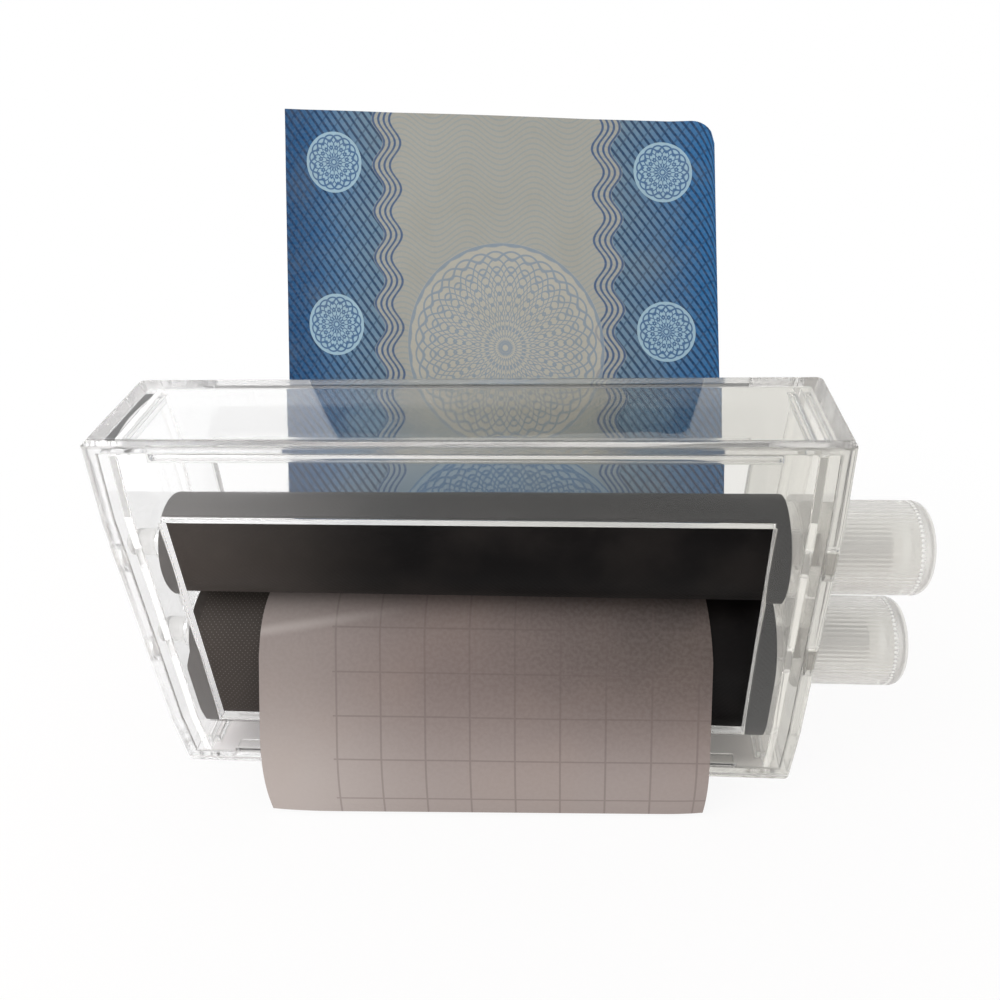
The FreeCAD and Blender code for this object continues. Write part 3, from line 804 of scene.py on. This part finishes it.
def noteMaterial(length):
    # A generic play note: lattice bands down both sides, a fine wavy field, two big rosettes and four small
    material, tree, shader = newMaterial("notePaper", Roughness=0.6, Specular_IOR_Level=0.12)
    place = laidFlat(tree, noteLook["width"], length)[1]
    x, y = split(tree, place)[:2]
    band, width = noteLook["band"], noteLook["width"]

    def swung(along, wave):
        return times(tree, calc(tree, "SINE", times(tree, along, 2 * math.pi / wave[0])), wave[1])

    def linesAt(spot, pitch, line, angle=0.0):
        return useGroup(tree, ruledLines, Place=spot, Angle=angle, Pitch=pitch, Line=line)["Mask"]

    # wavy inner borders of the two side bands
    wave = swung(y, noteLook["borderWave"])
    fromLeft = calc(tree, "SUBTRACT", x, wave)
    fromRight = calc(tree, "SUBTRACT", calc(tree, "SUBTRACT", width, x), wave)
    depth = calc(tree, "MINIMUM", fromLeft, fromRight)
    inBand = ramp(tree, depth, band - 0.15, band + 0.15, 1.0, 0.0)
    fade = ramp(tree, depth, 0.0, band * 1.1)
    ripple = addNode(tree, "ShaderNodeCombineXYZ", {0: depth}).outputs[0]
    outer = band + noteLook["borderWidth"]
    nearBorder = times(tree, ramp(tree, depth, band - 0.2, band),
                       ramp(tree, depth, outer - 0.3, outer, 1.0, 0.0))
    borders = times(tree, linesAt(ripple, noteLook["borderPitch"], 0.38), nearBorder)

    oneWay = linesAt(place, 1.05, 0.40, math.radians(38))
    otherWay = linesAt(place, 2.1, 0.26, math.radians(142))
    lattice = times(tree, calc(tree, "MAXIMUM", oneWay, times(tree, otherWay, 0.5)), inBand)

    # fine wavy lines over the open field
    bent = addNode(tree, "ShaderNodeCombineXYZ", {0: calc(tree, "ADD", y, swung(x, noteLook["fieldWave"]))})
    outside = calc(tree, "SUBTRACT", 1.0, inBand)
    field = times(tree, linesAt(bent.outputs[0], 0.85, 0.26), outside)

    tone = lay(tree, colourOf(noteLook["midBlue"]), fade, noteLook["paleBlue"])
    ground = lay(tree, colourOf(noteLook["ground"]), ramp(tree, y, 34.0, 16.0), noteLook["paleBlue"])
    tone = mixColour(tree, outside, tone, ground)
    tone = lay(tree, tone, field, noteLook["softLine"], 0.30)
    tone = lay(tree, tone, lattice, noteLook["deepBlue"], 0.85)
    tone = lay(tree, tone, borders, noteLook["lineBlue"], 0.85)
    tone = lay(tree, tone, ramp(tree, x, 0.0, 11.0, 0.5, 0.0), noteLook["deepBlue"])
    for kind in ("bigRosette", "lowRosette"):
        tone = layRosette(tree, tone, place, *noteLook[kind])
    for centre in noteLook["smallPlaces"]:
        tone = layRosette(tree, tone, place, centre, *noteLook["smallRosette"])

    crumple = noiseOf(tree, place, 0.12, 4.0)
    fibre = noiseOf(tree, place, 2.2, 5.0)
    tone = lay(tree, tone, ramp(tree, crumple, 0.45, 0.7, 0.0, 0.10), noteLook["stain"])
    tone = lay(tree, tone, ramp(tree, fibre, 0.35, 0.7, 0.0, 0.06), noteLook["fibre"])
    feed(tree, shader.inputs["Base Color"], tone)
    feed(tree, shader.inputs["Roughness"], ramp(tree, crumple, 0.3, 0.7, 0.5, 0.7))
    height = calc(tree, "ADD", crumple, times(tree, fibre, 0.15))
    feed(tree, shader.inputs["Normal"], bumpFrom(tree, height, 0.35, 0.0004))
    return material


def standNote():
    # From the nip round the back of the upper roll, then up and back in a straight lean
    columns, wrapRows, freeRows = noteLook["columns"], noteLook["wrapRows"], noteLook["freeRows"]
    lean, radius, middleZ = math.radians(noteLook["lean"]), noteLook["radius"], noteLook["middleZ"]
    start = -math.pi / 2 + 1.0 / radius
    end = -lean
    foot = Vector((0, radius * math.cos(end), middleZ + radius * math.sin(end)))
    up = Vector((0, math.sin(lean), math.cos(lean)))
    away = Vector((0, math.cos(lean), -math.sin(lean)))
    wrapped = radius * (end - start)
    rows = []
    for i in range(wrapRows + freeRows + 1):
        row = []
        for c in range(columns + 1):
            u = c / columns
            x = noteLook["shift"] + noteLook["width"] * (u - 0.5)
            if i < wrapRows:
                turn = start + (end - start) * i / wrapRows
                point = Vector((x, radius * math.cos(turn), middleZ + radius * math.sin(turn)))
            else:
                v = (i - wrapRows) / freeRows
                free = noteLook["leftLength"] * (1 - u) + noteLook["rightLength"] * u
                inset = max(0.0, noteLook["cornerRound"] - noteLook["width"] * (1 - u))
                free -= noteLook["cornerRound"] - math.sqrt(noteLook["cornerRound"] ** 2 - inset ** 2)
                point = foot + up * (free * v) + Vector((x - noteLook["sideLean"] * v, 0, 0))
                ripple = noise.noise(Vector((u * 2.4, v * 2.0, 4.2))) * noteLook["ripple"] * min(1.0, v * 2)
                point += away * -abs(ripple)
                point += away * -noteLook["rightBend"] * max(0.0, u - 0.9) / 0.1 * v * v
            row.append(tuple(point))
        rows.append(row)
    length = wrapped + (noteLook["leftLength"] + noteLook["rightLength"]) / 2
    note = sheetMesh("playNote", rows, noteMaterial(length), noteLook["thickness"])
    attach(note, "case")
    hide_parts("play_note")


standNote()
print("cloth, slip and note made")


knobLook = {
    "tone": "#edece8",
    "beads": 60,
    "beadX": 63.85,
    "beadRadius": 0.2,
    "beadStretch": 1.5,
    "ringRadius": 6.62,
    "tube": ("#35322f", "#45413d"),
    "tubeGrain": 900.0,
    "shaftShadeAlong": (0.0505, 0.0535),
}

knobClear = clearMaterial("milkyKnob", 0.22, knobLook["tone"], knobLook["tone"], 0.18, rubbed=0.08)
# painted shade: the shaft darkens inside the knob for the knob's dark core
shaftPaintedShade = clearMaterial("shaftWithPaintedShade", 0.35, "#dedbd8", "#6f6864", 0.3, between=knobLook["shaftShadeAlong"])
# the beads' white is a painted glint
glintBeadMaterial = clearMaterial("fluteEndGlint", 0.8, "#ffffff", "#ffffff", 0.1)
tubeMaterial, tubeTree, tubeShader = newMaterial("tubePlastic", Roughness=0.5)
tubePlace = addNode(tubeTree, "ShaderNodeTexCoord").outputs["Object"]
grain = noiseOf(tubeTree, tubePlace, knobLook["tubeGrain"], 3.0)
feed(tubeTree, tubeShader.inputs["Base Color"],
     lay(tubeTree, colourOf(knobLook["tube"][0]), ramp(tubeTree, grain, 0.3, 0.7), knobLook["tube"][1]))
feed(tubeTree, tubeShader.inputs["Normal"], bumpFrom(tubeTree, grain, 0.2, 0.0001))
tapeMaterial = clearMaterial("stickyTape", 0.7, "#c9bd98", "#c9bd98", 0.3)

for place in ("upper", "lower"):
    for part, material in (("knob", knobClear), ("drive_shaft", shaftPaintedShade), ("journal", pinClear),
                           ("core_tube", tubeMaterial), ("cloth_tape", tapeMaterial)):
        data = nodes[f"{place}_{part}"].data
        data.materials.clear()
        data.materials.append(material)


def beadRing(place):
    # Milky white beads at the flutes' ends near a knob's outer end: painted glints where the flutes end
    axisZ = rollLook["axisZ"][place]
    bpy.ops.object.select_all(action="DESELECT")
    bpy.ops.mesh.primitive_ico_sphere_add(subdivisions=1, radius=knobLook["beadRadius"] * mm)
    bead = bpy.context.object
    bpy.ops.object.mode_set(mode="EDIT")
    bpy.ops.mesh.select_all(action="SELECT")
    bpy.ops.transform.resize(value=(knobLook["beadStretch"], 1, 1))
    bpy.ops.object.mode_set(mode="OBJECT")
    beads, radius = [], knobLook["ringRadius"]
    for i in range(knobLook["beads"]):
        turn = 2 * math.pi * (i + 0.5) / knobLook["beads"]
        spot = Vector((knobLook["beadX"], radius * math.cos(turn), axisZ + radius * math.sin(turn)))
        copy = addObject(f"bead{i}", bead.data.copy())
        copy.data.transform(Matrix.Translation(spot * mm))
        beads.append(copy)
    bpy.data.objects.remove(bead)
    selectOnly(*beads)
    bpy.ops.object.join()
    ring = bpy.context.object
    ring.name = f"{place}KnobGlintBeads"
    ring.data.materials.clear()
    ring.data.materials.append(glintBeadMaterial)
    bpy.ops.object.shade_smooth()
    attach(ring, f"{place}_roller")


beadRing("upper")
beadRing("lower")
print("knobs, shafts and tubes finished")
